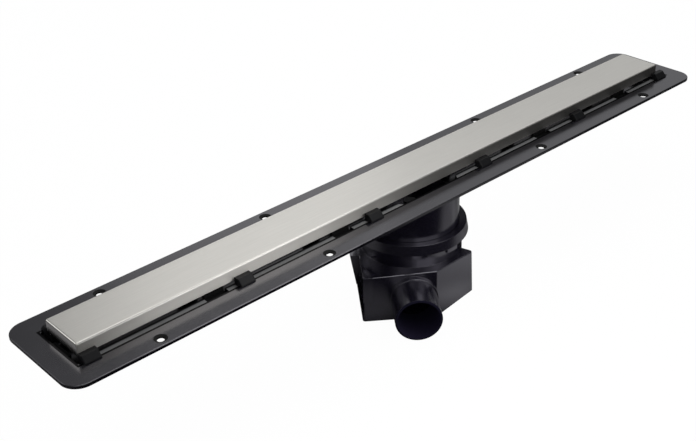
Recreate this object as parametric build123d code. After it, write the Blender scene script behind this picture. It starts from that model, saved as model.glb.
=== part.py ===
"""Linear shower drain: a moulded channel with a folded steel cover and a swivelling trap.

Millimetres, +Z up. The origin is the centre of the trap's flat base, on the upright axis of the
channel's outlet neck. +X runs along the channel. The outlet spigot points towards -X and -Y.
"""
import math
import os

from build123d import *

# Heights above the trap's base
FLANGE_TOP = 130.0
NUT_TOP = 84.0
BOX_TOP = 54.0

# Channel flange
FLANGE_LENGTH = 900.0
FLANGE_WIDTH = 118.0
FLANGE_CORNER_R = 18.0
FLANGE_PLATE = 2.6
RIM_WIDTH = 3.0
RIM_DEPTH = 0.8
FLANGE_EDGE_R = 0.8

# Fixing holes through the flange
FIX_X_OUTER = 356.0
FIX_X_INNER = 160.0
FIX_Y = 49.0
FIX_HOLE_R = 3.5
FIX_DISH_R = 6.4
FIX_DISH_DEPTH = 1.3

# Slot, ledge and trough
SLOT_LENGTH = 854.0
SLOT_WIDTH = 65.0
SLOT_CORNER_R = 3.0
LEDGE_DROP = 1.6
LEDGE_PLATE = 3.0
TROUGH_LENGTH = 846.0
TROUGH_WIDTH = 48.0
TROUGH_END_DEPTH = 16.0
TROUGH_BOWL_DEPTH = 21.0
TROUGH_WALL = 2.8
TROUGH_BEND_R = 5.0

# Pockets in the ledge: one under each foot of a support, and one at each corner of the slot
POCKET_LENGTH = 25.0
POCKET_DEPTH = 5.0
POCKET_PLATE = 2.0
CORNER_POCKET_LENGTH = 6.0
END_TONGUE_HALF = 13.0

# Ribs under the flange
RIB_THICKNESS = 2.0
RIB_FIRST_X = 123.0
RIB_PITCH = 82.0
RIB_COUNT = 4
RIB_FOOT = 9.0

# Outlet neck and the seat for the dip tube
NECK_R = 53.4
NECK_WALL = 2.4
NECK_BOTTOM = 70.0
LIP_R = 56.5
LIP_BOTTOM = 76.0
NUT_LIP_THICKNESS = 3.0
SEAT_PLATE = 3.0
SEAT_BOTTOM = 76.0
SEAT_BORE_R = 28.8
SEAT_COLLAR_WALL = 2.5
SEAT_COLLAR_DEPTH = 8.0

# Cover plate, folded from sheet
COVER_LENGTH = 839.0
COVER_WIDTH = 51.4
COVER_SHEET = 1.2
COVER_SKIRT = 12.8
COVER_ABOVE_FLANGE = 16.0
COVER_SHIFT_X = -3.8
COVER_BEND_R = 1.8
COVER_CORNER_R = 1.4
COVER_BEND_INNER_R = 0.6

# Supports that stand in the ledge's pockets and carry the cover; each place is a share of the
# slot's length, from its middle
SUPPORT_SHARES = (-0.3279, -0.1440, 0.2201, 0.3981)
SUPPORT_LENGTH = 22.0
SUPPORT_WALL = 2.6
SUPPORT_FOOT = 2.8
SUPPORT_TONGUE = 6.0
SUPPORT_GAP = 0.5
SUPPORT_BEND_R = 2.0

# Spacer clips that sit over the slot's edge
CLIP_COUNT = 6
CLIP_END_INSET = 12.0
CLIP_LENGTH = 17.0
CLIP_REACH = 4.2
CLIP_RISE = 6.5
CLIP_TOE = 1.2
CLIP_SHOULDER = 5.6
CLIP_EDGE_R = 1.2
CLIP_GAP = 0.3

# Dip tube, its seal and the hair strainer
DIP_R = 28.3
DIP_WALL = 2.8
DIP_BOTTOM = 14.0
DIP_FLANGE_R = 31.2
DIP_FLANGE = 2.5
DIP_LEAD = 1.2
SEAL_SECTION_R = 1.0
SEAL_DEPTH = 5.5
SEAL_GAP = 0.1
STRAINER_RIM_R = 30.6
STRAINER_RIM = 1.8
STRAINER_DEPTH = 15.0
STRAINER_WALL = 1.8
STRAINER_GAP = 0.5
STRAINER_HOLE_R = 2.4
STRAINER_INNER_RING_R = 9.5
STRAINER_INNER_COUNT = 6
STRAINER_OUTER_RING_R = 17.5
STRAINER_OUTER_COUNT = 12
STRAINER_STEM_R = 3.0
STRAINER_KNOB_R = 7.0
STRAINER_KNOB = 4.0
STRAINER_LIFT = 20.0

# Union nut and neck gasket
NUT_TOP_R = 61.5
NUT_BOTTOM_R = 63.5
NUT_HEIGHT = 11.0
NUT_LUGS = 4
NUT_LUG_WIDTH = 15.0
NUT_LUG_DROP = 4.5
NUT_THREAD_GAP = 0.1
RUNNING_GAP = 0.3
NECK_SIDE_GAP = 0.5
GASKET_THICKNESS = 2.2
GASKET_INSET = 0.2

# Trap housing. Its plan is drawn with x along the outlet spigot and y to the left of it.
OUTLET_HEADING = -128.0
BOX_FRONT = 71.0
BOX_LEFT = -59.0
BOX_FRONT_RIGHT = 20.0
BOX_LEAN = 0.8
BOX_WALL = 3.0
BOX_CORNER_R = 3.0
BOX_EDGE_R = 1.2
# The three right corners at the top (x, y) and at the base, where the wing sweeps back further
BOX_SHOULDER_TOP_X = 65.5
WING_TIP_TOP = (29.5, 65.5)
WING_TIP_BASE = (23.5, 68.5)
WING_ROOT_TOP = (15.0, 46.0)
WING_ROOT_BASE = (10.0, 47.0)
BOX_BACK_LEFT_X = -6.0
BOX_INNER_LEFT = (-20.0, -48.0)
BODY_R = 57.0
RIM_R = 60.0
RIM_WALL = 3.0
RIM_TOP = 80.5
GASKET_SEAT = 73.5
FUNNEL_TOP_INNER_R = 54.2
FUNNEL_BOTTOM_R = 56.0
FUNNEL_WALL = 3.0
CUP_RING_WALL = 2.0
CUP_RING_HEIGHT = 3.0
CORNER_PAD_WIDTH = 11.0
CORNER_PAD_BACK_X = 31.0
CORNER_PAD_HEIGHT = 31.0
CORNER_PAD_PROUD = 0.9
EAR_FRONT_X = 24.0
EAR_LENGTH = 17.0
EAR_TOP_REACH = 9.6
EAR_BOTTOM_REACH = 3.2
EAR_BOTTOM = 17.0

# Outlet spigot
SPIGOT_R = 25.0
SPIGOT_WALL = 2.4
SPIGOT_END = 113.3
SPIGOT_OFFSET = -5.0
SPIGOT_CHAMFER = 1.2
SPIGOT_BORE_START = 59.0
# The collar at the spigot's root, on which the pipe's socket stops; it is cut flat at the base
SPIGOT_STOP_R = 26.2
SPIGOT_STOP_END = 75.0
SPIGOT_STOP_EDGE_R = 0.6

# Siphon cup
CUP_R = 40.0
CUP_WALL = 2.4
CUP_TOP = 64.0
CUP_BEAD = 1.2
CUP_BEAD_HEIGHT = 2.5
CUP_GAP = 0.4

# Worked out from the values above
FLANGE_UNDER = FLANGE_TOP - FLANGE_PLATE
RIM_UNDER = FLANGE_UNDER - RIM_DEPTH
LEDGE_TOP = FLANGE_TOP - LEDGE_DROP
LEDGE_UNDER = LEDGE_TOP - LEDGE_PLATE
POCKET_FLOOR = LEDGE_TOP - POCKET_DEPTH
COVER_TOP = FLANGE_TOP + COVER_ABOVE_FLANGE
COVER_UNDER = COVER_TOP - COVER_SHEET
NECK_BORE_R = NECK_R - NECK_WALL
SEAT_TOP = SEAT_BOTTOM + SEAT_PLATE
NUT_LIP_UNDER = NUT_TOP - NUT_LIP_THICKNESS
DIP_FLANGE_TOP = SEAT_TOP + DIP_FLANGE
SPIGOT_BORE_R = SPIGOT_R - SPIGOT_WALL
SPIGOT_Z = BOX_WALL + SPIGOT_BORE_R


def tube(outer_r, inner_r, bottom, top):
    """An upright tube about the Z axis."""
    ring = Circle(outer_r) - Circle(inner_r)
    return Pos(0, 0, bottom) * extrude(ring, amount=top - bottom)


def disc(radius, bottom, top):
    """An upright cylinder about the Z axis."""
    return Pos(0, 0, bottom) * extrude(Circle(radius), amount=top - bottom)


def turned(points):
    """A solid of revolution about the Z axis, from (radius, height) points."""
    profile = make_face(Polyline(*points, close=True))
    return revolve(Plane.XZ * profile, axis=Axis.Z)


def slab(length, width, corner_r, bottom, top):
    """A plate with rounded corners, centred on the Z axis."""
    return Pos(0, 0, bottom) * extrude(RectangleRounded(length, width, corner_r), amount=top - bottom)


def trough_prism(length, width, drop, bend_r):
    """The trough's long form, which falls from both ends to the neck."""
    half = length / 2
    end_floor = FLANGE_TOP - TROUGH_END_DEPTH - drop
    bowl_floor = FLANGE_TOP - TROUGH_BOWL_DEPTH - drop
    side = [
        (-half, LEDGE_TOP),
        (-half, end_floor),
        (-NECK_BORE_R, bowl_floor),
        (NECK_BORE_R, bowl_floor),
        (half, end_floor),
        (half, LEDGE_TOP),
    ]
    face = make_face(Polyline(*side, close=True))
    prism = Pos(0, width / 2, 0) * extrude(Plane.XZ * face, amount=width)
    floor_edges = [
        edge
        for edge in prism.edges()
        if edge.center().Z < LEDGE_UNDER and edge.bounding_box().size.X > NECK_BORE_R
    ]
    return fillet(floor_edges, bend_r)


def side_box(x_low, x_high, y_low, y_high, z_low, z_high):
    """An upright box between two corners."""
    centre = Pos((x_low + x_high) / 2, (y_low + y_high) / 2, (z_low + z_high) / 2)
    return centre * Box(x_high - x_low, y_high - y_low, z_high - z_low)


def support_places():
    """The X of each cover support, and of the pair of pockets that it stands in."""
    return [share * SLOT_LENGTH for share in SUPPORT_SHARES]


def ledge_pockets(grow, z_low, z_high):
    """The pockets in the ledges on the +Y side, open to the trough, each grown on its closed sides."""
    trough_side = TROUGH_WIDTH / 2
    slot_side = SLOT_WIDTH / 2 + grow
    slot_end = SLOT_LENGTH / 2 + grow
    corner = SLOT_LENGTH / 2 - CORNER_POCKET_LENGTH - grow
    pockets = []
    for x in support_places():
        half = POCKET_LENGTH / 2 + grow
        pockets.append(side_box(x - half, x + half, trough_side, slot_side, z_low, z_high))
    for low, high in ((-slot_end, -corner), (corner, slot_end)):
        pockets.append(side_box(low, high, END_TONGUE_HALF - grow, slot_side, z_low, z_high))
    return pockets


def fixing_places():
    """The eight fixing holes' centres."""
    return [
        (side_x * x, side_y * FIX_Y)
        for x in (FIX_X_OUTER, FIX_X_INNER)
        for side_x in (-1, 1)
        for side_y in (-1, 1)
    ]


def flange_rib(x, side):
    """One gusset from the trough's wall to the flange's rim."""
    root = TROUGH_WIDTH / 2 + TROUGH_WALL / 2
    reach = FLANGE_WIDTH / 2 - RIM_WIDTH / 2
    foot = FLANGE_UNDER - RIM_DEPTH - RIB_FOOT
    gusset = [(root, FLANGE_UNDER), (reach, FLANGE_UNDER), (reach, RIM_UNDER), (root, foot)]
    face = make_face(Polyline(*[(side * y, z) for y, z in gusset], close=True))
    return Pos(x - RIB_THICKNESS / 2, 0, 0) * extrude(Plane.YZ * face, amount=RIB_THICKNESS)


def make_channel_body():
    """The flange, ledge, trough and outlet neck, moulded as one piece."""
    plate = slab(FLANGE_LENGTH, FLANGE_WIDTH, FLANGE_CORNER_R, FLANGE_UNDER, FLANGE_TOP)
    plate = fillet(plate.faces().sort_by(Axis.Z)[-1].edges(), FLANGE_EDGE_R)
    rim = slab(FLANGE_LENGTH, FLANGE_WIDTH, FLANGE_CORNER_R, RIM_UNDER, FLANGE_UNDER)
    rim -= slab(
        FLANGE_LENGTH - 2 * RIM_WIDTH,
        FLANGE_WIDTH - 2 * RIM_WIDTH,
        FLANGE_CORNER_R - RIM_WIDTH,
        RIM_UNDER,
        FLANGE_UNDER,
    )
    ledge = slab(
        SLOT_LENGTH + 2 * LEDGE_PLATE,
        SLOT_WIDTH + 2 * LEDGE_PLATE,
        SLOT_CORNER_R + LEDGE_PLATE,
        LEDGE_UNDER,
        FLANGE_UNDER,
    )
    trough = trough_prism(
        TROUGH_LENGTH + 2 * TROUGH_WALL,
        TROUGH_WIDTH + 2 * TROUGH_WALL,
        TROUGH_WALL,
        TROUGH_BEND_R + TROUGH_WALL,
    )
    body = plate + rim + ledge + trough
    body += disc(NECK_R, NECK_BOTTOM, FLANGE_UNDER)
    body += disc(LIP_R, LIP_BOTTOM, NUT_LIP_UNDER - RUNNING_GAP)
    for shell in ledge_pockets(POCKET_PLATE, POCKET_FLOOR - POCKET_PLATE, FLANGE_UNDER):
        body += shell + mirror(shell, about=Plane.XZ)
    for index in range(RIB_COUNT):
        rib_x = RIB_FIRST_X + index * RIB_PITCH
        for side_x in (-1, 1):
            for side_y in (-1, 1):
                body += flange_rib(side_x * rib_x, side_y)

    body -= slab(SLOT_LENGTH, SLOT_WIDTH, SLOT_CORNER_R, LEDGE_TOP, FLANGE_TOP)
    body -= trough_prism(TROUGH_LENGTH, TROUGH_WIDTH, 0.0, TROUGH_BEND_R)
    below_slot = slab(SLOT_LENGTH, SLOT_WIDTH, SLOT_CORNER_R, SEAT_TOP, LEDGE_TOP)
    body -= disc(NECK_BORE_R, SEAT_TOP, LEDGE_TOP) & below_slot
    for pocket in ledge_pockets(0.0, POCKET_FLOOR, LEDGE_TOP):
        pocket = pocket & below_slot
        body -= pocket + mirror(pocket, about=Plane.XZ)
    body -= disc(NECK_BORE_R, SEAT_TOP, FLANGE_UNDER)
    body -= disc(NECK_BORE_R, NECK_BOTTOM, SEAT_BOTTOM)
    body += tube(
        SEAT_BORE_R + SEAT_COLLAR_WALL, SEAT_BORE_R, SEAT_BOTTOM - SEAT_COLLAR_DEPTH, SEAT_BOTTOM
    )
    body -= disc(SEAT_BORE_R, SEAT_BOTTOM, SEAT_TOP)

    dish_floor = FLANGE_TOP - FIX_DISH_DEPTH
    sink = turned(
        [
            (0, RIM_UNDER),
            (FIX_HOLE_R, RIM_UNDER),
            (FIX_HOLE_R, dish_floor),
            (FIX_DISH_R, FLANGE_TOP),
            (0, FLANGE_TOP),
        ]
    )
    for x, y in fixing_places():
        body -= Pos(x, y, 0) * sink
    return body


def make_cover_plate():
    """The steel cover, a shallow tray folded from sheet and open below."""
    outer = slab(COVER_LENGTH, COVER_WIDTH, COVER_CORNER_R, COVER_TOP - COVER_SKIRT, COVER_TOP)
    outer = fillet(outer.faces().sort_by(Axis.Z)[-1].edges(), COVER_BEND_R)
    inner = slab(
        COVER_LENGTH - 2 * COVER_SHEET,
        COVER_WIDTH - 2 * COVER_SHEET,
        COVER_BEND_INNER_R,
        COVER_TOP - COVER_SKIRT,
        COVER_UNDER,
    )
    return Pos(COVER_SHIFT_X, 0, 0) * (outer - inner)


def make_cover_support():
    """One bridge that stands in a pair of pockets and carries the cover, centred on X = 0."""
    leg = COVER_WIDTH / 2 - COVER_SHEET - SUPPORT_GAP
    foot = SLOT_WIDTH / 2 - SUPPORT_GAP
    tongue = TROUGH_WIDTH / 2 - SUPPORT_GAP
    foot_top = POCKET_FLOOR + SUPPORT_FOOT
    half = [
        (0, COVER_UNDER),
        (leg, COVER_UNDER),
        (leg, foot_top),
        (foot, foot_top),
        (foot, POCKET_FLOOR),
        (tongue, POCKET_FLOOR),
        (tongue, POCKET_FLOOR - SUPPORT_TONGUE),
        (tongue - SUPPORT_WALL, POCKET_FLOOR - SUPPORT_TONGUE),
        (tongue - SUPPORT_WALL, COVER_UNDER - SUPPORT_WALL),
        (0, COVER_UNDER - SUPPORT_WALL),
    ]
    face = make_face(Polyline(*half, close=True))
    bridge = Pos(-SUPPORT_LENGTH / 2, 0, 0) * extrude(Plane.YZ * face, amount=SUPPORT_LENGTH)
    shoulder = bridge.edges().filter_by(Axis.X).sort_by(lambda edge: edge.center().Y + edge.center().Z)[-1]
    bridge = fillet(shoulder, SUPPORT_BEND_R)
    return bridge + mirror(bridge, about=Plane.XZ)


def make_spacer_clip():
    """One clip over the slot's edge on the +Y side, centred on X = 0."""
    skirt = COVER_WIDTH / 2 + CLIP_GAP
    edge_y = SLOT_WIDTH / 2
    toe = edge_y + CLIP_REACH
    top = FLANGE_TOP + CLIP_RISE
    section = [
        (skirt, top),
        (skirt + CLIP_SHOULDER, top),
        (toe, FLANGE_TOP + CLIP_TOE),
        (toe, FLANGE_TOP),
        (edge_y, FLANGE_TOP),
        (edge_y, LEDGE_TOP),
        (skirt, LEDGE_TOP),
    ]
    face = make_face(Polyline(*section, close=True))
    clip = Pos(-CLIP_LENGTH / 2, 0, 0) * extrude(Plane.YZ * face, amount=CLIP_LENGTH)
    slope = clip.faces().sort_by(lambda face: face.normal_at().Y * face.normal_at().Z)[-1]
    return fillet(slope.edges().sort_by(Axis.Z)[1:], CLIP_EDGE_R)


def make_dip_tube():
    """The removable tube that hangs in the neck's seat and dips into the siphon cup."""
    bore = DIP_R - DIP_WALL
    seal_z = SEAT_TOP - SEAL_DEPTH
    groove = DIP_R - 2 * SEAL_SECTION_R + (SEAT_BORE_R - DIP_R) - 2 * SEAL_GAP
    outline = [
        (bore, DIP_BOTTOM),
        (DIP_R - DIP_LEAD, DIP_BOTTOM),
        (DIP_R, DIP_BOTTOM + DIP_LEAD),
        (DIP_R, seal_z - SEAL_SECTION_R - SEAL_GAP),
        (groove, seal_z - SEAL_SECTION_R - SEAL_GAP),
        (groove, seal_z + SEAL_SECTION_R + SEAL_GAP),
        (DIP_R, seal_z + SEAL_SECTION_R + SEAL_GAP),
        (DIP_R, SEAT_TOP),
        (DIP_FLANGE_R, SEAT_TOP),
        (DIP_FLANGE_R, DIP_FLANGE_TOP),
        (bore, DIP_FLANGE_TOP),
    ]
    return turned(outline)


def make_dip_tube_seal():
    """The O-ring in the dip tube's groove."""
    centre_r = SEAT_BORE_R - SEAL_GAP - SEAL_SECTION_R
    return Pos(0, 0, SEAT_TOP - SEAL_DEPTH) * Torus(centre_r, SEAL_SECTION_R)


def make_hair_strainer():
    """The hair strainer, a perforated basket in the dip tube's mouth with a knob to lift it."""
    basket_r = DIP_R - DIP_WALL - STRAINER_GAP
    floor_top = DIP_FLANGE_TOP - STRAINER_DEPTH + STRAINER_WALL
    outline = [
        (0, floor_top - STRAINER_WALL),
        (basket_r, floor_top - STRAINER_WALL),
        (basket_r, DIP_FLANGE_TOP),
        (STRAINER_RIM_R, DIP_FLANGE_TOP),
        (STRAINER_RIM_R, DIP_FLANGE_TOP + STRAINER_RIM),
        (basket_r - STRAINER_WALL, DIP_FLANGE_TOP + STRAINER_RIM),
        (basket_r - STRAINER_WALL, floor_top),
        (STRAINER_STEM_R, floor_top),
        (STRAINER_STEM_R, DIP_FLANGE_TOP + STRAINER_LIFT),
        (STRAINER_KNOB_R, DIP_FLANGE_TOP + STRAINER_LIFT),
        (STRAINER_KNOB_R, DIP_FLANGE_TOP + STRAINER_LIFT + STRAINER_KNOB),
        (0, DIP_FLANGE_TOP + STRAINER_LIFT + STRAINER_KNOB),
    ]
    strainer = turned(outline)
    hole = disc(STRAINER_HOLE_R, floor_top - STRAINER_WALL, floor_top)
    rings = PolarLocations(STRAINER_INNER_RING_R, STRAINER_INNER_COUNT).locations
    rings += PolarLocations(STRAINER_OUTER_RING_R, STRAINER_OUTER_COUNT).locations
    for place in rings:
        strainer -= place * hole
    return strainer


def make_union_nut():
    """The nut that holds the neck's lip down on the trap's rim, with lugs for a spanner."""
    thread_r = RIM_R + NUT_THREAD_GAP
    bottom = NUT_TOP - NUT_HEIGHT
    outline = [
        (NECK_R + NECK_SIDE_GAP, NUT_LIP_UNDER),
        (thread_r, NUT_LIP_UNDER),
        (thread_r, bottom),
        (NUT_BOTTOM_R, bottom),
        (NUT_TOP_R, NUT_TOP),
        (NECK_R + NECK_SIDE_GAP, NUT_TOP),
    ]
    nut = turned(outline)
    skirt = tube(NUT_BOTTOM_R, thread_r, bottom - NUT_LUG_DROP, bottom)
    window = Pos(NUT_BOTTOM_R, 0, bottom - NUT_LUG_DROP / 2) * Box(
        NUT_BOTTOM_R, NUT_LUG_WIDTH, NUT_LUG_DROP
    )
    for index in range(NUT_LUGS):
        nut += skirt & (Rot(0, 0, index * 360 / NUT_LUGS) * window)
    return nut


def make_neck_gasket():
    """The flat sealing ring between the neck's lip and the trap's shoulder."""
    return tube(
        RIM_R - RIM_WALL - GASKET_INSET,
        FUNNEL_TOP_INNER_R,
        GASKET_SEAT,
        GASKET_SEAT + GASKET_THICKNESS,
    )


def wing_point(top, base, height):
    """One right corner of the box's plan at a height, on the straight edge between its ends."""
    share = height / BOX_TOP
    return tuple(b + (t - b) * share for t, b in zip(top, base))


def box_plan(height):
    """The front box's plan at a height: flat front, wide chamfer, and a wing that sweeps back."""
    lean = (BOX_TOP - height) * math.tan(math.radians(BOX_LEAN))
    front = BOX_FRONT + lean
    left = BOX_LEFT - lean
    corners = [
        (front, left),
        wing_point((BOX_SHOULDER_TOP_X, BOX_FRONT_RIGHT), (BOX_FRONT, BOX_FRONT_RIGHT), height),
        wing_point(WING_TIP_TOP, WING_TIP_BASE, height),
        wing_point(WING_ROOT_TOP, WING_ROOT_BASE, height),
        BOX_INNER_LEFT,
        (BOX_BACK_LEFT_X, left),
    ]
    return make_face(Polyline(*corners, close=True))


def side_ear():
    """The tapered ear on the box's left side."""
    inside = BOX_LEFT + BOX_WALL / 2
    section = [
        (inside, BOX_TOP),
        (BOX_LEFT - EAR_TOP_REACH, BOX_TOP),
        (BOX_LEFT - EAR_BOTTOM_REACH, EAR_BOTTOM),
        (inside, EAR_BOTTOM),
    ]
    face = make_face(Polyline(*section, close=True))
    return Pos(EAR_FRONT_X - EAR_LENGTH, 0, 0) * extrude(Plane.YZ * face, amount=EAR_LENGTH)


def corner_pad():
    """The raised pad on the box's front left corner."""
    pad = side_box(
        CORNER_PAD_BACK_X,
        BOX_FRONT + CORNER_PAD_PROUD,
        BOX_LEFT,
        BOX_LEFT + CORNER_PAD_WIDTH,
        BOX_TOP + CORNER_PAD_PROUD - CORNER_PAD_HEIGHT,
        BOX_TOP + CORNER_PAD_PROUD,
    )
    return fillet(pad.edges().filter_by(Axis.Y), CORNER_PAD_PROUD / 2)


def along_spigot(radius, start, end=SPIGOT_END):
    """A cylinder on the spigot's axis, between two places along it."""
    place = Pos(start, SPIGOT_OFFSET, SPIGOT_Z) * Rot(0, 90, 0)
    return place * extrude(Circle(radius), amount=end - start)


def make_trap_housing():
    """The trap's body: box, funnel, threaded rim and outlet spigot, moulded as one piece."""
    box = loft([box_plan(0), Pos(0, 0, BOX_TOP) * box_plan(BOX_TOP)], ruled=True)
    outside_x = WING_TIP_BASE[0]
    upright = [
        edge
        for edge in box.edges()
        if edge.bounding_box().size.Z > BOX_TOP / 2 and edge.center().X > outside_x
    ]
    box = fillet(upright, BOX_CORNER_R)
    top_edges = [edge for edge in box.faces().sort_by(Axis.Z)[-1].edges() if edge.center().X > outside_x]
    box = fillet(top_edges, BOX_EDGE_R)
    lean = BOX_TOP * math.tan(math.radians(BOX_LEAN))
    body = turned([(0, 0), (BODY_R + lean, 0), (BODY_R, BOX_TOP), (0, BOX_TOP)])

    room_low = offset(box_plan(BOX_WALL), amount=-BOX_WALL, kind=Kind.INTERSECTION)
    room_high = offset(box_plan(BOX_TOP - BOX_WALL), amount=-BOX_WALL, kind=Kind.INTERSECTION)
    room = loft([Pos(0, 0, BOX_WALL) * room_low, Pos(0, 0, BOX_TOP - BOX_WALL) * room_high], ruled=True)
    inner_r = BODY_R - BOX_WALL
    room += disc(inner_r, BOX_WALL, BOX_TOP - BOX_WALL)

    funnel_outer = turned(
        [
            (0, BOX_TOP - BOX_WALL),
            (FUNNEL_BOTTOM_R, BOX_TOP - BOX_WALL),
            (FUNNEL_BOTTOM_R, BOX_TOP),
            (RIM_R, NUT_TOP - NUT_HEIGHT),
            (RIM_R, RIM_TOP),
            (0, RIM_TOP),
        ]
    )
    funnel_inner = turned(
        [
            (0, BOX_TOP - BOX_WALL),
            (FUNNEL_BOTTOM_R - FUNNEL_WALL, BOX_TOP - BOX_WALL),
            (FUNNEL_TOP_INNER_R, GASKET_SEAT),
            (RIM_R - RIM_WALL, GASKET_SEAT),
            (RIM_R - RIM_WALL, RIM_TOP),
            (0, RIM_TOP),
        ]
    )
    spigot = along_spigot(SPIGOT_R, BOX_FRONT - BOX_WALL)
    spigot = chamfer(spigot.faces().sort_by(Axis.X)[-1].edges(), SPIGOT_CHAMFER)
    stop = along_spigot(SPIGOT_STOP_R, BOX_FRONT - BOX_WALL, SPIGOT_STOP_END)
    stop = fillet(stop.faces().sort_by(Axis.X)[-1].edges(), SPIGOT_STOP_EDGE_R)
    stop -= side_box(0, SPIGOT_END, -BOX_FRONT, BOX_FRONT, -SPIGOT_STOP_R, 0)
    housing = box + body + corner_pad() + side_ear() + funnel_outer + spigot + stop
    housing -= room
    housing -= funnel_inner
    housing -= along_spigot(SPIGOT_BORE_R, SPIGOT_BORE_START)
    housing += tube(
        CUP_R + CUP_GAP + CUP_RING_WALL, CUP_R + CUP_GAP, BOX_WALL, BOX_WALL + CUP_RING_HEIGHT
    )
    return Rot(0, 0, OUTLET_HEADING) * housing


def make_siphon_cup():
    """The cup that stands in the trap and holds the water round the dip tube."""
    bore = CUP_R - CUP_WALL
    return turned(
        [
            (0, BOX_WALL),
            (CUP_R, BOX_WALL),
            (CUP_R, CUP_TOP - CUP_BEAD_HEIGHT),
            (CUP_R + CUP_BEAD, CUP_TOP - CUP_BEAD_HEIGHT),
            (CUP_R + CUP_BEAD, CUP_TOP),
            (bore, CUP_TOP),
            (bore, BOX_WALL + CUP_WALL),
            (0, BOX_WALL + CUP_WALL),
        ]
    )


def make_parts():
    """Every piece in its place, by node name."""
    parts = {
        "channel_body": make_channel_body(),
        "cover_plate": make_cover_plate(),
        "hair_strainer": make_hair_strainer(),
        "dip_tube": make_dip_tube(),
        "dip_tube_seal": make_dip_tube_seal(),
        "union_nut": make_union_nut(),
        "neck_gasket": make_neck_gasket(),
        "trap_housing": make_trap_housing(),
        "siphon_cup": make_siphon_cup(),
    }
    support = make_cover_support()
    for number, x in enumerate(support_places(), start=1):
        parts[f"cover_support_{number}"] = Pos(x, 0, 0) * support
    clip = make_spacer_clip()
    first_x = CLIP_END_INSET - SLOT_LENGTH / 2
    pitch = -2 * first_x / (CLIP_COUNT - 1)
    for number in range(1, CLIP_COUNT + 1):
        x = first_x + (number - 1) * pitch
        parts[f"spacer_clip_back_{number}"] = Pos(x, 0, 0) * clip
        parts[f"spacer_clip_front_{number}"] = Pos(x, 0, 0) * Rot(0, 0, 180) * clip
    return parts


os.makedirs("parts", exist_ok=True)
for name, shape in make_parts().items():
    export_step(shape, f"parts/{name}.step")
    print(name, round(shape.volume), [round(v, 1) for v in shape.bounding_box().size])
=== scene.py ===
"""Looks of a linear shower drain: its finishes and fine detail, the studio light and the camera.

All lengths are in metres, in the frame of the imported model: +Z up, +X along the channel, and the
origin at the centre of the trap's flat base.
"""
import logging
import math
from dataclasses import dataclass, replace
from enum import Enum
from typing import Callable, Optional, Sequence, Union

import bpy
from mathutils import Matrix, Vector

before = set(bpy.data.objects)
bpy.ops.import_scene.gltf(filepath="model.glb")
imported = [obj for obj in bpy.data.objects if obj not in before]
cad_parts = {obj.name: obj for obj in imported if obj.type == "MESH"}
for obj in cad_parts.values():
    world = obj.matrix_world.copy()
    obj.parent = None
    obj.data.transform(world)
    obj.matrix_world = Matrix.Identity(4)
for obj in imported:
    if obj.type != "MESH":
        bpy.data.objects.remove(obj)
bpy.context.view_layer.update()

LOG = logging.getLogger("shower_drain")

Colour = tuple[float, float, float]
Point = tuple[float, float, float]
Socket = bpy.types.NodeSocket

WHITE: Colour = (1.0, 1.0, 1.0)
UPWARDS: Point = (0.0, 0.0, 1.0)
NOISE_MIDDLE = 0.5
BEVEL_SAMPLES = 4


class Stretch(Enum):
    """Which way a finish's marks run, as scales along X, Y and Z."""

    EVEN = (1.0, 1.0, 1.0)
    ALONG_X = (0.012, 1.0, 1.0)


class Value:
    """One float socket of a shader, on which arithmetic adds Math nodes."""

    def __init__(self, graph: "Graph", socket: Socket) -> None:
        """Wraps a socket.

        Args:
            graph: the graph that makes the nodes.
            socket: the output socket that carries the value.
        """
        self.graph = graph
        self.socket = socket

    def _math(self, operation: str, first: "Number", second: "Number" = 0.0) -> "Value":
        """Adds one Math node.

        Args:
            operation: the Math node's operation.
            first: the left operand.
            second: the right operand.

        Returns:
            The node's result.
        """
        node = self.graph.node("ShaderNodeMath", {"operation": operation}, {0: first, 1: second})
        return Value(self.graph, node.outputs[0])

    def __add__(self, other: "Number") -> "Value":
        """Adds two values."""
        return self._math("ADD", self, other)

    def __radd__(self, other: "Number") -> "Value":
        """Adds this value to a number."""
        return self._math("ADD", other, self)

    def __sub__(self, other: "Number") -> "Value":
        """Takes a value away from this one."""
        return self._math("SUBTRACT", self, other)

    def __rsub__(self, other: "Number") -> "Value":
        """Takes this value away from a number."""
        return self._math("SUBTRACT", other, self)

    def __mul__(self, other: "Number") -> "Value":
        """Multiplies two values."""
        return self._math("MULTIPLY", self, other)

    def __rmul__(self, other: "Number") -> "Value":
        """Multiplies a number by this value."""
        return self._math("MULTIPLY", other, self)

    def __truediv__(self, other: "Number") -> "Value":
        """Divides this value by another."""
        return self._math("DIVIDE", self, other)

    def __rtruediv__(self, other: "Number") -> "Value":
        """Divides a number by this value."""
        return self._math("DIVIDE", other, self)

    def above(self, limit: "Number") -> "Value":
        """Gives 1 where the value is above a limit, and 0 elsewhere."""
        return self._math("GREATER_THAN", self, limit)

    def size(self) -> "Value":
        """Gives the value without its sign."""
        return self._math("ABSOLUTE", self)

    def at_least(self, limit: "Number") -> "Value":
        """Gives the larger of the value and a limit."""
        return self._math("MAXIMUM", self, limit)

    def at_most(self, limit: "Number") -> "Value":
        """Gives the smaller of the value and a limit."""
        return self._math("MINIMUM", self, limit)

    def power(self, exponent: "Number") -> "Value":
        """Raises the value to a power."""
        return self._math("POWER", self, exponent)

    def between(self, low: "Number", high: "Number") -> "Value":
        """Gives 1 where the value lies between two limits, and 0 elsewhere."""
        return self.above(low) * (1.0 - self.above(high))


Number = Union[float, Value]
Feed = Union[float, Sequence[float], Value, Socket]
Inputs = dict[Union[int, str], Feed]


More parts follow.
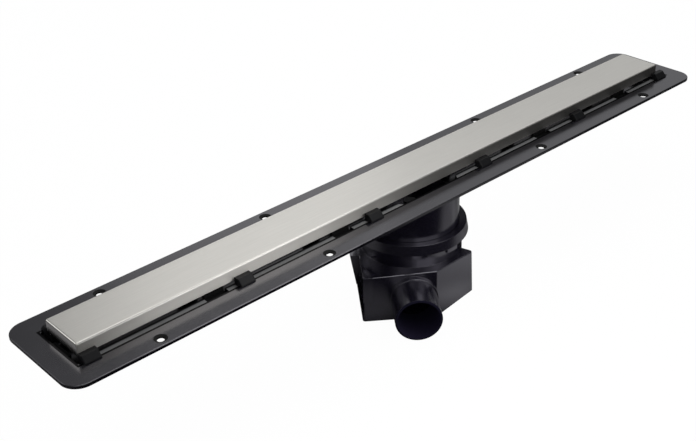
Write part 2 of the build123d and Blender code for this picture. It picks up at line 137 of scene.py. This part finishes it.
class Graph:
    """A material's or the world's node tree, filled through one method."""

    def __init__(self, tree: bpy.types.NodeTree) -> None:
        """Empties a tree, ready for new nodes.

        Args:
            tree: the tree to fill.
        """
        self.tree = tree
        tree.nodes.clear()

    def node(
        self,
        kind: str,
        settings: Optional[dict[str, object]] = None,
        inputs: Optional[Inputs] = None,
    ) -> bpy.types.Node:
        """Adds a node.

        Args:
            kind: the node's type name.
            settings: its own properties, set before its sockets.
            inputs: values or links, by socket name or number.

        Returns:
            The new node.
        """
        made = self.tree.nodes.new(kind)
        for name, value in (settings or {}).items():
            setattr(made, name, value)
        for name, value in (inputs or {}).items():
            if isinstance(value, Value):
                self.tree.links.new(value.socket, made.inputs[name])
            elif isinstance(value, Socket):
                self.tree.links.new(value, made.inputs[name])
            else:
                made.inputs[name].default_value = value
        return made

    def shader(self, kind: str, inputs: Inputs) -> Socket:
        """Adds a shader.

        Args:
            kind: the shader node's type name.
            inputs: values or links, by socket name or number.

        Returns:
            The shader's socket.
        """
        return self.node(kind, None, inputs).outputs[0]

    def mix(self, share: Value, first: Socket, second: Socket) -> Socket:
        """Mixes two shaders.

        Args:
            share: how much of the second shows.
            first: the shader at 0.
            second: the shader at 1.

        Returns:
            The mixed shader's socket.
        """
        return self.shader("ShaderNodeMixShader", {0: share, 1: first, 2: second})

    def blend(self, share: Value, first: Feed, second: Feed) -> Socket:
        """Mixes two colours.

        Args:
            share: how much of the second shows.
            first: the colour at 0.
            second: the colour at 1.

        Returns:
            The mixed colour's socket.
        """
        mixed = self.node("ShaderNodeMix", {"data_type": "RGBA"}, {0: share, 6: first, 7: second})
        return mixed.outputs[2]

    def vector(self, operation: str, inputs: Inputs) -> bpy.types.Node:
        """Adds one Vector Math node."""
        return self.node("ShaderNodeVectorMath", {"operation": operation}, inputs)

    def value(self, node: bpy.types.Node, output: Union[int, str]) -> Value:
        """Wraps one output of a node for arithmetic."""
        return Value(self, node.outputs[output])

    def place(self) -> Socket:
        """Gives the point on the piece, in its own metres."""
        return self.node("ShaderNodeTexCoord").outputs["Object"]

    def position(self) -> tuple[Value, Value, Value]:
        """Gives X, Y and Z of the point on the piece."""
        split = self.node("ShaderNodeSeparateXYZ", None, {0: self.place()})
        return self.value(split, 0), self.value(split, 1), self.value(split, 2)

    def noise(self, per_metre: float, detail: float, stretch: Stretch = Stretch.EVEN) -> Value:
        """Adds noise over the piece.

        Args:
            per_metre: how many features lie in a metre.
            detail: how many finer layers it has.
            stretch: which way the features run.

        Returns:
            The noise, from about 0.3 to 0.7.
        """
        scaled = self.vector("MULTIPLY", {0: self.place(), 1: stretch.value})
        noise = self.node(
            "ShaderNodeTexNoise",
            {"noise_dimensions": "3D"},
            {"Vector": scaled.outputs[0], "Scale": per_metre, "Detail": detail},
        )
        return self.value(noise, "Fac")

    def bump(self, height: Value, depth: float, edge_radius: float) -> Socket:
        """Turns a height into a bumped normal on softened edges.

        Args:
            height: the height, from 0 to 1.
            depth: what a height of 1 stands for, in metres.
            edge_radius: how far the piece's sharp edges are softened, in metres.

        Returns:
            The normal's socket.
        """
        soft = self.node("ShaderNodeBevel", {"samples": BEVEL_SAMPLES}, {"Radius": edge_radius})
        bumped = self.node(
            "ShaderNodeBump", None, {"Height": height, "Distance": depth, "Normal": soft.outputs[0]}
        )
        return bumped.outputs["Normal"]

    def patch(self, centre: tuple[float, float], radius: float, softness: float) -> Value:
        """Marks a round patch in plan.

        Args:
            centre: its centre's X and Y, in metres.
            radius: its radius at half strength.
            softness: the width of its blurred border.

        Returns:
            1 inside and 0 outside, with what lies between along the border.
        """
        offset = self.vector("SUBTRACT", {0: self.place(), 1: (*centre, 0.0)})
        flat = self.vector("MULTIPLY", {0: offset.outputs[0], 1: (1.0, 1.0, 0.0)})
        away = self.value(self.vector("LENGTH", {0: flat.outputs[0]}), "Value")
        share = (radius - away) / softness + 0.5
        return share.at_least(0.0).at_most(1.0)

    def along(self, direction: Point) -> Value:
        """Gives how far a ray into the surroundings points one way.

        Args:
            direction: the way, of any length.

        Returns:
            1 for that way, 0 square to it, and -1 for the opposite way.
        """
        ray = self.node("ShaderNodeTexCoord").outputs["Generated"]
        unit = tuple(Vector(direction).normalized())
        return self.value(self.vector("DOT_PRODUCT", {0: ray, 1: unit}), "Value")


def rgba(colour: Colour) -> tuple[float, float, float, float]:
    """Gives a colour with full alpha."""
    return (*colour, 1.0)


@dataclass(frozen=True)
class Finish:
    """A finish of the drain's pieces, which gives its name to its material."""

    name: str

    def material(self) -> bpy.types.Material:
        """Builds the material.

        Returns:
            The new material.
        """
        made = bpy.data.materials.new(self.name)
        made.use_nodes = True
        graph = Graph(made.node_tree)
        graph.node("ShaderNodeOutputMaterial", None, {"Surface": self.surface(graph)})
        return made

    def surface(self, graph: Graph) -> Socket:
        """Builds the surface's shader.

        Args:
            graph: the material's graph.

        Returns:
            The shader's socket.
        """
        raise NotImplementedError


@dataclass(frozen=True)
class MouldedPlastic(Finish):
    """A moulded plastic: its colour and gloss, the mould's fine grain, and wear in broad clouds."""

    colour: Colour
    worn_colour: Colour
    roughness: float
    roughness_drift: float
    grain_per_metre: float
    grain_depth: float
    ior: float = 1.5
    gloss: float = 0.5
    gloss_tint: Colour = WHITE
    edge_radius: float = 0.0005
    grain_detail: float = 2.0
    grain_wear: float = 0.8
    clouds_per_metre: float = 28.0
    cloud_detail: float = 4.0
    cloud_start: float = 0.4
    cloud_wear: float = 2.2

    def surface(self, graph: Graph) -> Socket:
        """Builds the plastic's shader.

        Args:
            graph: the material's graph.

        Returns:
            The shader's socket.
        """
        cloud = graph.noise(self.clouds_per_metre, self.cloud_detail)
        grain = graph.noise(self.grain_per_metre, self.grain_detail)
        wear = (cloud - self.cloud_start) * self.cloud_wear + (grain - NOISE_MIDDLE) * self.grain_wear
        return graph.shader(
            "ShaderNodeBsdfPrincipled",
            {
                "Base Color": graph.blend(wear, rgba(self.colour), rgba(self.worn_colour)),
                "Roughness": (cloud - NOISE_MIDDLE) * self.roughness_drift + self.roughness,
                "IOR": self.ior,
                "Specular IOR Level": self.gloss,
                "Specular Tint": rgba(self.gloss_tint),
                "Normal": graph.bump(grain, self.grain_depth, self.edge_radius),
            },
        )


@dataclass(frozen=True)
class ShadedPlastic(MouldedPlastic):
    """A moulded plastic with painted shade: a dark matte shader mixed over it where the light would be
    kept out.
    """

    shade_colour: Colour = (0.002, 0.002, 0.002)

    def surface(self, graph: Graph) -> Socket:
        """Builds the plastic's shader, with the painted shade over it.

        Args:
            graph: the material's graph.

        Returns:
            The shader's socket.
        """
        plain = super().surface(graph)
        shade = graph.shader("ShaderNodeBsdfDiffuse", {"Color": rgba(self.shade_colour)})
        return graph.mix(self.shaded(graph), plain, shade)

    def shaded(self, graph: Graph) -> Value:
        """Tells how deep the painted shade is at a point.

        Args:
            graph: the material's graph.

        Returns:
            From 0 in the open to 1 in full shade.
        """
        raise NotImplementedError


@dataclass(frozen=True)
class ChannelPlastic(ShadedPlastic):
    """The channel's plastic, with a painted shade line round its slot and painted shade from the cover
    in its trough.
    """

    slot_half_length: float = 0.427
    slot_half_width: float = 0.0325
    slot_edge_shade_width: float = 0.0023
    slot_edge_shade_floor: float = 0.1295
    slot_edge_shade_strength: float = 0.90
    trough_half_width: float = 0.0245
    trough_from: float = 0.105
    trough_until: float = 0.129
    trough_shade: float = 0.35

    def shaded(self, graph: Graph) -> Value:
        """Tells the painted shade line just outside the slot and the painted shade inside the trough.

        Args:
            graph: the material's graph.

        Returns:
            The shade of the one or the other, and 0 elsewhere.
        """
        along, across, height = graph.position()
        past_end = along.size() - self.slot_half_length
        past_edge = past_end.at_least(across.size() - self.slot_half_width)
        # Painted shade: a dark line on the flange's top just outside the slot's edge.
        slot_edge_shade = past_edge.between(0.0, self.slot_edge_shade_width) * height.above(self.slot_edge_shade_floor)
        # Painted shade: the inside of the trough is darkened where the cover shades it.
        inside = 1.0 - across.size().above(self.trough_half_width)
        trough = inside * height.between(self.trough_from, self.trough_until)
        return slot_edge_shade * self.slot_edge_shade_strength + trough * self.trough_shade


@dataclass(frozen=True)
class LedgePlastic(ShadedPlastic):
    """The ledge's plastic, painted lighter than the channel's, with painted shade that grows towards
    the cover's skirt.
    """

    open_from: float = 0.0270
    shade_until: float = 0.0254
    skirt_shade: float = 0.95

    def shaded(self, graph: Graph) -> Value:
        """Tells the painted shade at the ledge's inner edge.

        Args:
            graph: the material's graph.

        Returns:
            0 in the open, and the skirt's shade at the inner edge.
        """
        across = graph.position()[1].size()
        depth = (self.open_from - across) / (self.open_from - self.shade_until)
        return depth.at_least(0.0).at_most(1.0) * self.skirt_shade


@dataclass(frozen=True)
class BrushedSteel(Finish):
    """Stainless sheet with a brushed face, whose lines run along the cover."""

    colour: Colour
    line_colour: Colour
    roughness: float
    line_roughness: float
    lines_per_metre: float
    line_depth: float
    spread_across: float = 0.0
    spread_turn: float = 0.25
    edge_radius: float = 0.0004
    line_detail: float = 5.0
    line_start: float = 0.35
    line_contrast: float = 2.0
    clouds_per_metre: float = 9.0
    cloud_detail: float = 2.0
    cloud_roughness: float = 0.06

    def surface(self, graph: Graph) -> Socket:
        """Builds the steel's shader.

        Args:
            graph: the material's graph.

        Returns:
            The shader's socket.
        """
        lines = graph.noise(self.lines_per_metre, self.line_detail, Stretch.ALONG_X)
        cloud = graph.noise(self.clouds_per_metre, self.cloud_detail)
        bright = (lines - self.line_start) * self.line_contrast
        line_drift = (lines - NOISE_MIDDLE) * self.line_roughness
        cloud_drift = (cloud - NOISE_MIDDLE) * self.cloud_roughness
        return graph.shader(
            "ShaderNodeBsdfPrincipled",
            {
                "Base Color": graph.blend(bright, rgba(self.line_colour), rgba(self.colour)),
                "Metallic": 1.0,
                "Roughness": line_drift + cloud_drift + self.roughness,
                "Anisotropic": self.spread_across,
                "Anisotropic Rotation": self.spread_turn,
                "Normal": graph.bump(lines, self.line_depth, self.edge_radius),
            },
        )


CHANNEL_PLASTIC = ChannelPlastic(
    name="channel_plastic",
    colour=(0.003, 0.003, 0.005),
    worn_colour=(0.006, 0.005, 0.008),
    roughness=0.17,
    roughness_drift=0.12,
    grain_per_metre=1500.0,
    grain_depth=0.000010,
    ior=1.9,
    gloss=0.72,
    gloss_tint=(0.96, 0.94, 1.0),
)
# Painted light: the ledge is a lighter grey than the rest of the channel's plastic, standing in for
# light on the strip beside the cover.
LEDGE_PLASTIC = LedgePlastic(
    name="ledge_plastic",
    colour=(0.21, 0.21, 0.21),
    worn_colour=(0.27, 0.27, 0.27),
    roughness=0.55,
    roughness_drift=0.10,
    grain_per_metre=1500.0,
    grain_depth=0.000020,
)
# Painted shade: a duller copy of the channel's plastic, with less gloss, which makes the walls of each
# fixing's dish look shaded.
DISH_PLASTIC = MouldedPlastic(
    name="dish_plastic",
    colour=(0.003, 0.003, 0.003),
    worn_colour=(0.006, 0.006, 0.006),
    roughness=0.60,
    roughness_drift=0.10,
    grain_per_metre=1500.0,
    grain_depth=0.000020,
    ior=1.3,
)
CLIP_PLASTIC = MouldedPlastic(
    name="clip_plastic",
    colour=(0.006, 0.006, 0.007),
    worn_colour=(0.010, 0.010, 0.011),
    roughness=0.45,
    roughness_drift=0.10,
    grain_per_metre=1700.0,
    grain_depth=0.000030,
    ior=1.3,
)
SUPPORT_PLASTIC = replace(
    CLIP_PLASTIC,
    name="support_plastic",
    colour=(0.004, 0.004, 0.004),
    worn_colour=(0.007, 0.007, 0.007),
    roughness=0.75,
)
TRAP_PLASTIC = MouldedPlastic(
    name="trap_plastic",
    colour=(0.006, 0.005, 0.011),
    worn_colour=(0.010, 0.009, 0.016),
    roughness=0.20,
    roughness_drift=0.06,
    grain_per_metre=1200.0,
    grain_depth=0.000008,
    ior=1.9,
    gloss=0.85,
    gloss_tint=(0.93, 0.91, 1.0),
)
# Painted light: a lighter, matte colour than the trap's own plastic, which lifts the shadowed inside of
# the outlet spigot; the siphon cup wears it too.
BORE_PLASTIC = MouldedPlastic(
    name="bore_plastic",
    colour=(0.020, 0.017, 0.036),
    worn_colour=(0.026, 0.023, 0.044),
    roughness=0.70,
    roughness_drift=0.10,
    grain_per_metre=1200.0,
    grain_depth=0.000006,
    ior=1.3,
    gloss=0.0,
)
RIM_PLASTIC = replace(
    BORE_PLASTIC,
    name="rim_plastic",
    colour=(0.010, 0.009, 0.018),
    worn_colour=(0.014, 0.013, 0.024),
)
INNER_PLASTIC = MouldedPlastic(
    name="inner_plastic",
    colour=(0.030, 0.030, 0.032),
    worn_colour=(0.040, 0.040, 0.042),
    roughness=0.50,
    roughness_drift=0.10,
    grain_per_metre=1500.0,
    grain_depth=0.000030,
)
SEAL_RUBBER = MouldedPlastic(
    name="seal_rubber",
    colour=(0.010, 0.010, 0.010),
    worn_colour=(0.016, 0.016, 0.016),
    roughness=0.62,
    roughness_drift=0.10,
    grain_per_metre=900.0,
    grain_depth=0.000020,
)
COVER_STEEL = BrushedSteel(
    name="cover_steel",
    colour=(0.88, 0.86, 0.815),
    line_colour=(0.79, 0.77, 0.725),
    roughness=0.36,
    line_roughness=0.08,
    lines_per_metre=2600.0,
    line_depth=0.000006,
)
FOLD_STEEL = replace(COVER_STEEL, name="cover_steel_folds", roughness=0.40, spread_across=0.9)
END_STEEL = replace(
    COVER_STEEL, name="cover_steel_ends", roughness=0.20, line_roughness=0.06, line_depth=0.000004
)

FaceTest = Callable[[Vector, Vector], bool]
FINISHED: dict[str, bpy.types.Material] = {}


def finished(finish: Finish) -> bpy.types.Material:
    """Gives a finish's material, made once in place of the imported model's plain one.

    Args:
        finish: the finish.

    Returns:
        Its material.
    """
    if finish.name not in FINISHED:
        plain = bpy.data.materials.get(finish.name)
        if plain:
            plain.name = f"{finish.name}_plain"
        FINISHED[finish.name] = finish.material()
    return FINISHED[finish.name]


def dress(node_name: str, finish: Finish, zones: Sequence[tuple[Finish, FaceTest]] = ()) -> None:
    """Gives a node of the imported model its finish.

    Args:
        node_name: the node.
        finish: the finish of all faces that lie in no zone.
        zones: finishes for some of its faces, each with a test on a face's centre and normal.
    """
    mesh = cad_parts[node_name].data
    mesh.materials.clear()
    for used in (finish, *(zone_finish for zone_finish, _ in zones)):
        mesh.materials.append(finished(used))
    for face in mesh.polygons:
        for slot, (_, belongs) in enumerate(zones, start=1):
            if belongs(face.center, face.normal):
                face.material_index = slot
                break
    LOG.info("%s is dressed in %s", node_name, finish.name)


@dataclass
class Channel:
    """The moulded channel with what stands in and on it.

    A tilt is a limit on the Z of a face's normal, which tells floors from walls.
    """

    clip_rows: tuple[str, str] = ("front", "back")
    clips_per_row: int = 6
    supports: int = 4
    ledge_top: float = 0.1284
    ledge_slack: float = 0.0002
    ledge_tilt: float = 0.95
    fixing_x: tuple[float, float] = (0.160, 0.356)
    fixing_y: float = 0.049
    dish_reach: float = 0.0066
    dish_tilt: float = 0.999
    neck_reach: float = 0.058
    neck_top: float = 0.126
    neck_tilt: float = 0.9

    def build(self) -> None:
        """Dresses the channel, its clips and the cover's supports."""
        zones = (
            (LEDGE_PLASTIC, self._on_ledge),
            (DISH_PLASTIC, self._in_dish),
            (TRAP_PLASTIC, self._on_neck),
        )
        dress("channel_body", CHANNEL_PLASTIC, zones)
        for row in self.clip_rows:
            for number in range(1, self.clips_per_row + 1):
                dress(f"spacer_clip_{row}_{number}", CLIP_PLASTIC)
        for number in range(1, self.supports + 1):
            dress(f"cover_support_{number}", SUPPORT_PLASTIC)

    def _on_ledge(self, centre: Vector, normal: Vector) -> bool:
        """Tells the shallow ledge's top, beside the cover."""
        return normal.z > self.ledge_tilt and abs(centre.z - self.ledge_top) < self.ledge_slack

    def _in_dish(self, centre: Vector, normal: Vector) -> bool:
        """Tells the inside of a fixing's dish and hole.

        Args:
            centre: the face's centre.
            normal: its normal.

        Returns:
            Whether the face lies there.
        """
        across = abs(centre.y) - self.fixing_y
        away = min(math.hypot(abs(centre.x) - place, across) for place in self.fixing_x)
        return away < self.dish_reach and normal.z < self.dish_tilt

    def _on_neck(self, centre: Vector, normal: Vector) -> bool:
        """Tells the round neck under the trough."""
        away = math.hypot(centre.x, centre.y)
        return centre.z < self.neck_top and away < self.neck_reach and abs(normal.z) < self.neck_tilt


@dataclass
class Cover:
    """The folded steel cover, whose faces with a normal's Z above flat_tilt count as flat."""

    node_name: str = "cover_plate"
    flat_tilt: float = 0.97

    def build(self) -> None:
        """Dresses the cover, with finishes of their own on its folds and on its two short ends."""
        dress(self.node_name, COVER_STEEL, ((END_STEEL, self._on_end), (FOLD_STEEL, self._on_fold)))

    def _on_end(self, centre: Vector, normal: Vector) -> bool:
        """Tells the folds and the skirt of the two short ends."""
        return self._on_fold(centre, normal) and abs(normal.x) > abs(normal.y)

    def _on_fold(self, centre: Vector, normal: Vector) -> bool:
        """Tells the folds and the skirt from the flat top."""
        return abs(normal.z) < self.flat_tilt


@dataclass
class Trap:
    """The trap under the channel, with the pieces inside it."""

    outlet_heading: float = math.radians(-128.0)
    spigot_offset: float = -0.005
    spigot_height: float = 0.0256
    bore_reach: float = 0.0229
    bore_start: float = 0.058
    rim_start: float = 0.1119

    def build(self) -> None:
        """Dresses the trap, its nut and its inner pieces."""
        zones = ((RIM_PLASTIC, self._on_rim), (BORE_PLASTIC, self._in_bore))
        dress("trap_housing", TRAP_PLASTIC, zones)
        dress("union_nut", TRAP_PLASTIC)
        dress("siphon_cup", BORE_PLASTIC)
        for name in ("dip_tube", "hair_strainer"):
            dress(name, INNER_PLASTIC)
        for name in ("dip_tube_seal", "neck_gasket"):
            dress(name, SEAL_RUBBER)

    def _outlet_way(self) -> Vector:
        """Gives the way that the outlet points, in plan."""
        return Vector((math.cos(self.outlet_heading), math.sin(self.outlet_heading)))

    def _on_rim(self, centre: Vector, normal: Vector) -> bool:
        """Tells the end of the outlet spigot."""
        return centre.xy.dot(self._outlet_way()) > self.rim_start

    def _in_bore(self, centre: Vector, normal: Vector) -> bool:
        """Tells the inside of the outlet spigot.

        Args:
            centre: the face's centre.
            normal: its normal, which doesn't matter here.

        Returns:
            Whether the face lies there.
        """
        out = self._outlet_way()
        aside = centre.y * out.x - centre.x * out.y - self.spigot_offset
        away = math.hypot(aside, centre.z - self.spigot_height)
        return centre.xy.dot(out) > self.bore_start and away < self.bore_reach


@dataclass(frozen=True)
class Lamp:
    """A soft rectangular lamp, whose light falls from its place towards its aim."""

    name: str
    place: Point
    aim: Point
    sides: tuple[float, float]
    watts: float
    in_view: bool = False


@dataclass(frozen=True)
class Glow:
    """A soft bright patch of the surroundings, which gloss shows, with its two angles in degrees."""

    heading: float
    elevation: float
    narrowness: float
    strength: float


@dataclass(frozen=True)
class Pool:
    """A round lit patch of the floor, which gloss shows."""

    centre: tuple[float, float]
    radius: float
    softness: float
    strength: float


@dataclass
class Studio:
    """The floor, the light and the camera."""

    image_width: float = 696.0
    focal_px: float = 1136.1
    sensor: float = 36.0
    azimuth: float = math.radians(-41.91)
    elevation: float = math.radians(30.32)
    roll: float = math.radians(1.62)
    distance: float = 1.1455
    aim: Point = (-0.1054, -0.0160, 0.130)
    clip_start: float = 0.05
    floor_size: float = 12.0
    floor_gap: float = 0.0004
    floor_colour: Colour = (0.60, 0.60, 0.60)
    floor_white: float = 1.03
    white_to_camera: float = 0.95
    white_through_glass: float = 0.8
    soft_colour: Colour = (0.94, 0.96, 1.0)
    soft_level: float = 0.45
    glow_colour: Colour = (0.98, 0.99, 1.0)
    lamps: tuple[Lamp, ...] = (
        Lamp("top", (0.5, 0.5, 1.8), (0.0, 0.0, 0.10), (1.4, 1.4), 8.1, in_view=True),
        Lamp("panel", (0.30, -0.87, 0.26), (-0.02, -0.02, 0.14), (0.60, 0.50), 0.53, in_view=True),
        Lamp("near_panel", (-0.02, -0.45, 0.28), (-0.22, -0.03, 0.14), (0.33, 0.35), 0.25),
        Lamp("left", (-0.95, -0.55, 0.35), (-0.30, 0.0, 0.14), (0.40, 0.40), 0.12),
        Lamp("back", (0.40, 0.88, 0.50), (0.0, 0.0, 0.10), (0.60, 0.50), 0.37),
        Lamp("fold", (-0.10, -0.25, 0.33), (-0.24, -0.02, 0.146), (0.30, 0.16), 0.23),
        Lamp("fold_high", (0.22, -0.41, 0.60), (-0.13, -0.02, 0.146), (0.42, 0.30), 0.19),
    )
    glows: tuple[Glow, ...] = (
        Glow(-180.0, 8.0, 10.0, 0.05),
        Glow(-140.0, 8.0, 10.0, 0.46),
        Glow(-100.0, 8.0, 10.0, 0.22),
        Glow(20.0, 8.0, 10.0, 0.23),
        Glow(60.0, 8.0, 10.0, 0.36),
        Glow(140.0, 8.0, 10.0, 0.18),
        Glow(-152.0, 40.0, 10.0, 0.11),
        Glow(-92.0, 40.0, 10.0, 0.28),
        Glow(-32.0, 40.0, 10.0, 0.11),
        Glow(28.0, 40.0, 10.0, 0.49),
        Glow(148.0, 40.0, 10.0, 0.22),
        Glow(126.0, 34.0, 24.0, 1.30),
        Glow(0.0, 90.0, 8.0, 0.37),
    )
    pools: tuple[Pool, ...] = (
        Pool((0.30, 0.30), 0.30, 0.15, 0.61),
        Pool((-0.30, 0.35), 0.30, 0.15, 0.16),
        Pool((0.65, -0.10), 0.20, 0.15, 0.05),
        Pool((-0.75, 0.0), 0.20, 0.15, 0.055),
        Pool((-0.105, -0.055), 0.035, 0.03, 0.11),
        Pool((0.01, -0.065), 0.03, 0.03, 0.14),
        Pool((0.205, -0.070), 0.045, 0.04, 0.15),
        Pool((0.05, -0.11), 0.06, 0.04, 0.31),
        Pool((0.16, -0.15), 0.09, 0.06, 0.24),
        Pool((0.32, -0.18), 0.10, 0.08, 0.185),
    )

    def build(self) -> None:
        """Makes the floor, the world, the lamps and the camera."""
        self._floor()
        self._world()
        for lamp in self.lamps:
            self._hang(lamp)
        self._camera()

    def _floor(self) -> None:
        """Lays the floor just under the trap's base."""
        half = self.floor_size / 2
        corners = ((-half, -half), (half, -half), (half, half), (-half, half))
        mesh = bpy.data.meshes.new("floor")
        mesh.from_pydata([(x, y, -self.floor_gap) for x, y in corners], [], [(0, 1, 2, 3)])
        floor = bpy.data.objects.new("floor", mesh)
        bpy.context.scene.collection.objects.link(floor)
        mesh.materials.append(self._floor_material())

    def _floor_material(self) -> bpy.types.Material:
        """Makes the floor's material.

        Returns:
            The new material: white to the camera, with lit pools in gloss, and pale to other light.
        """
        made = bpy.data.materials.new("floor_white")
        made.use_nodes = True
        made.cycles.emission_sampling = "NONE"
        graph = Graph(made.node_tree)
        path = graph.node("ShaderNodeLightPath")
        matte = graph.shader("ShaderNodeBsdfDiffuse", {"Color": rgba(self.floor_colour)})
        white = graph.shader("ShaderNodeEmission", {"Color": rgba(WHITE), "Strength": self.floor_white})
        level = sum((self._pool(graph, pool) for pool in self.pools), 0.0)
        pools = graph.shader("ShaderNodeEmission", {"Strength": level})
        to_camera = graph.value(path, "Is Camera Ray") * self.white_to_camera
        through_glass = graph.value(path, "Is Transmission Ray") * self.white_through_glass
        plain = graph.mix(to_camera + through_glass, matte, white)
        mixed = graph.mix(graph.value(path, "Is Glossy Ray"), plain, pools)
        graph.node("ShaderNodeOutputMaterial", None, {"Surface": mixed})
        return made

    def _world(self) -> None:
        """Sets a pale world that is white to the camera and shows the glows in gloss."""
        world = bpy.data.worlds.new("studio")
        world.use_nodes = True
        world.cycles.sampling_method = "NONE"
        bpy.context.scene.world = world
        graph = Graph(world.node_tree)
        path = graph.node("ShaderNodeLightPath")
        level = sum((self._glow(graph, glow) for glow in self.glows), 0.0)
        soft = self._background(graph, self.soft_colour, self.soft_level)
        mirrored = self._background(graph, self.glow_colour, level)
        white = self._background(graph, WHITE, 1.0)
        lit = graph.mix(graph.value(path, "Is Glossy Ray"), soft, mirrored)
        mixed = graph.mix(graph.value(path, "Is Camera Ray"), lit, white)
        graph.node("ShaderNodeOutputWorld", None, {"Surface": mixed})

    @staticmethod
    def _pool(graph: Graph, pool: Pool) -> Value:
        """Gives the level of one lit patch of the floor."""
        return graph.patch(pool.centre, pool.radius, pool.softness) * pool.strength

    @staticmethod
    def _background(graph: Graph, colour: Colour, level: Number) -> Socket:
        """Gives the surroundings one colour and level."""
        return graph.shader("ShaderNodeBackground", {"Color": rgba(colour), "Strength": level})

    @staticmethod
    def _glow(graph: Graph, glow: Glow) -> Value:
        """Adds one bright patch of the surroundings.

        Args:
            graph: the world's graph.
            glow: the patch.

        Returns:
            Its level along each ray.
        """
        heading, elevation = math.radians(glow.heading), math.radians(glow.elevation)
        flat = math.cos(elevation)
        way = (math.cos(heading) * flat, math.sin(heading) * flat, math.sin(elevation))
        return graph.along(way).at_least(0.0).power(glow.narrowness) * glow.strength

    @staticmethod
    def _hang(lamp: Lamp) -> None:
        """Hangs one lamp.

        Args:
            lamp: the lamp.
        """
        data = bpy.data.lights.new(lamp.name, "AREA")
        data.shape = "RECTANGLE"
        data.size, data.size_y = lamp.sides
        data.energy = lamp.watts
        towards = Vector(lamp.aim) - Vector(lamp.place)
        hung = bpy.data.objects.new(lamp.name, data)
        hung.location = lamp.place
        hung.rotation_euler = towards.to_track_quat("-Z", "Y").to_euler()
        hung.visible_camera = lamp.in_view
        bpy.context.scene.collection.objects.link(hung)

    def _camera(self) -> None:
        """Places the camera as it was fitted to the photograph's view."""
        east = math.sin(self.azimuth) * math.cos(self.elevation)
        north = -math.cos(self.azimuth) * math.cos(self.elevation)
        back = Vector((east, north, math.sin(self.elevation)))
        level = (-back).cross(Vector(UPWARDS)).normalized()
        down = (-back).cross(level)
        right = math.cos(self.roll) * level + math.sin(self.roll) * down
        up = back.cross(right)
        data = bpy.data.cameras.new("camera")
        data.sensor_width = self.sensor
        data.lens = self.sensor * self.focal_px / self.image_width
        data.clip_start = self.clip_start
        camera = bpy.data.objects.new("camera", data)
        turn = Matrix((right, up, back)).transposed().to_4x4()
        camera.matrix_world = Matrix.Translation(Vector(self.aim) + back * self.distance) @ turn
        bpy.context.scene.collection.objects.link(camera)
        bpy.context.scene.camera = camera


def main() -> None:
    """Builds the drain's looks and the studio, in order."""
    logging.basicConfig(level=logging.INFO, format="%(name)s: %(message)s")
    bpy.context.scene.view_settings.view_transform = "Standard"
    for assembly in (Channel(), Cover(), Trap(), Studio()):
        assembly.build()
        LOG.info("%s is built", type(assembly).__name__)


if __name__ == "__main__":
    main()
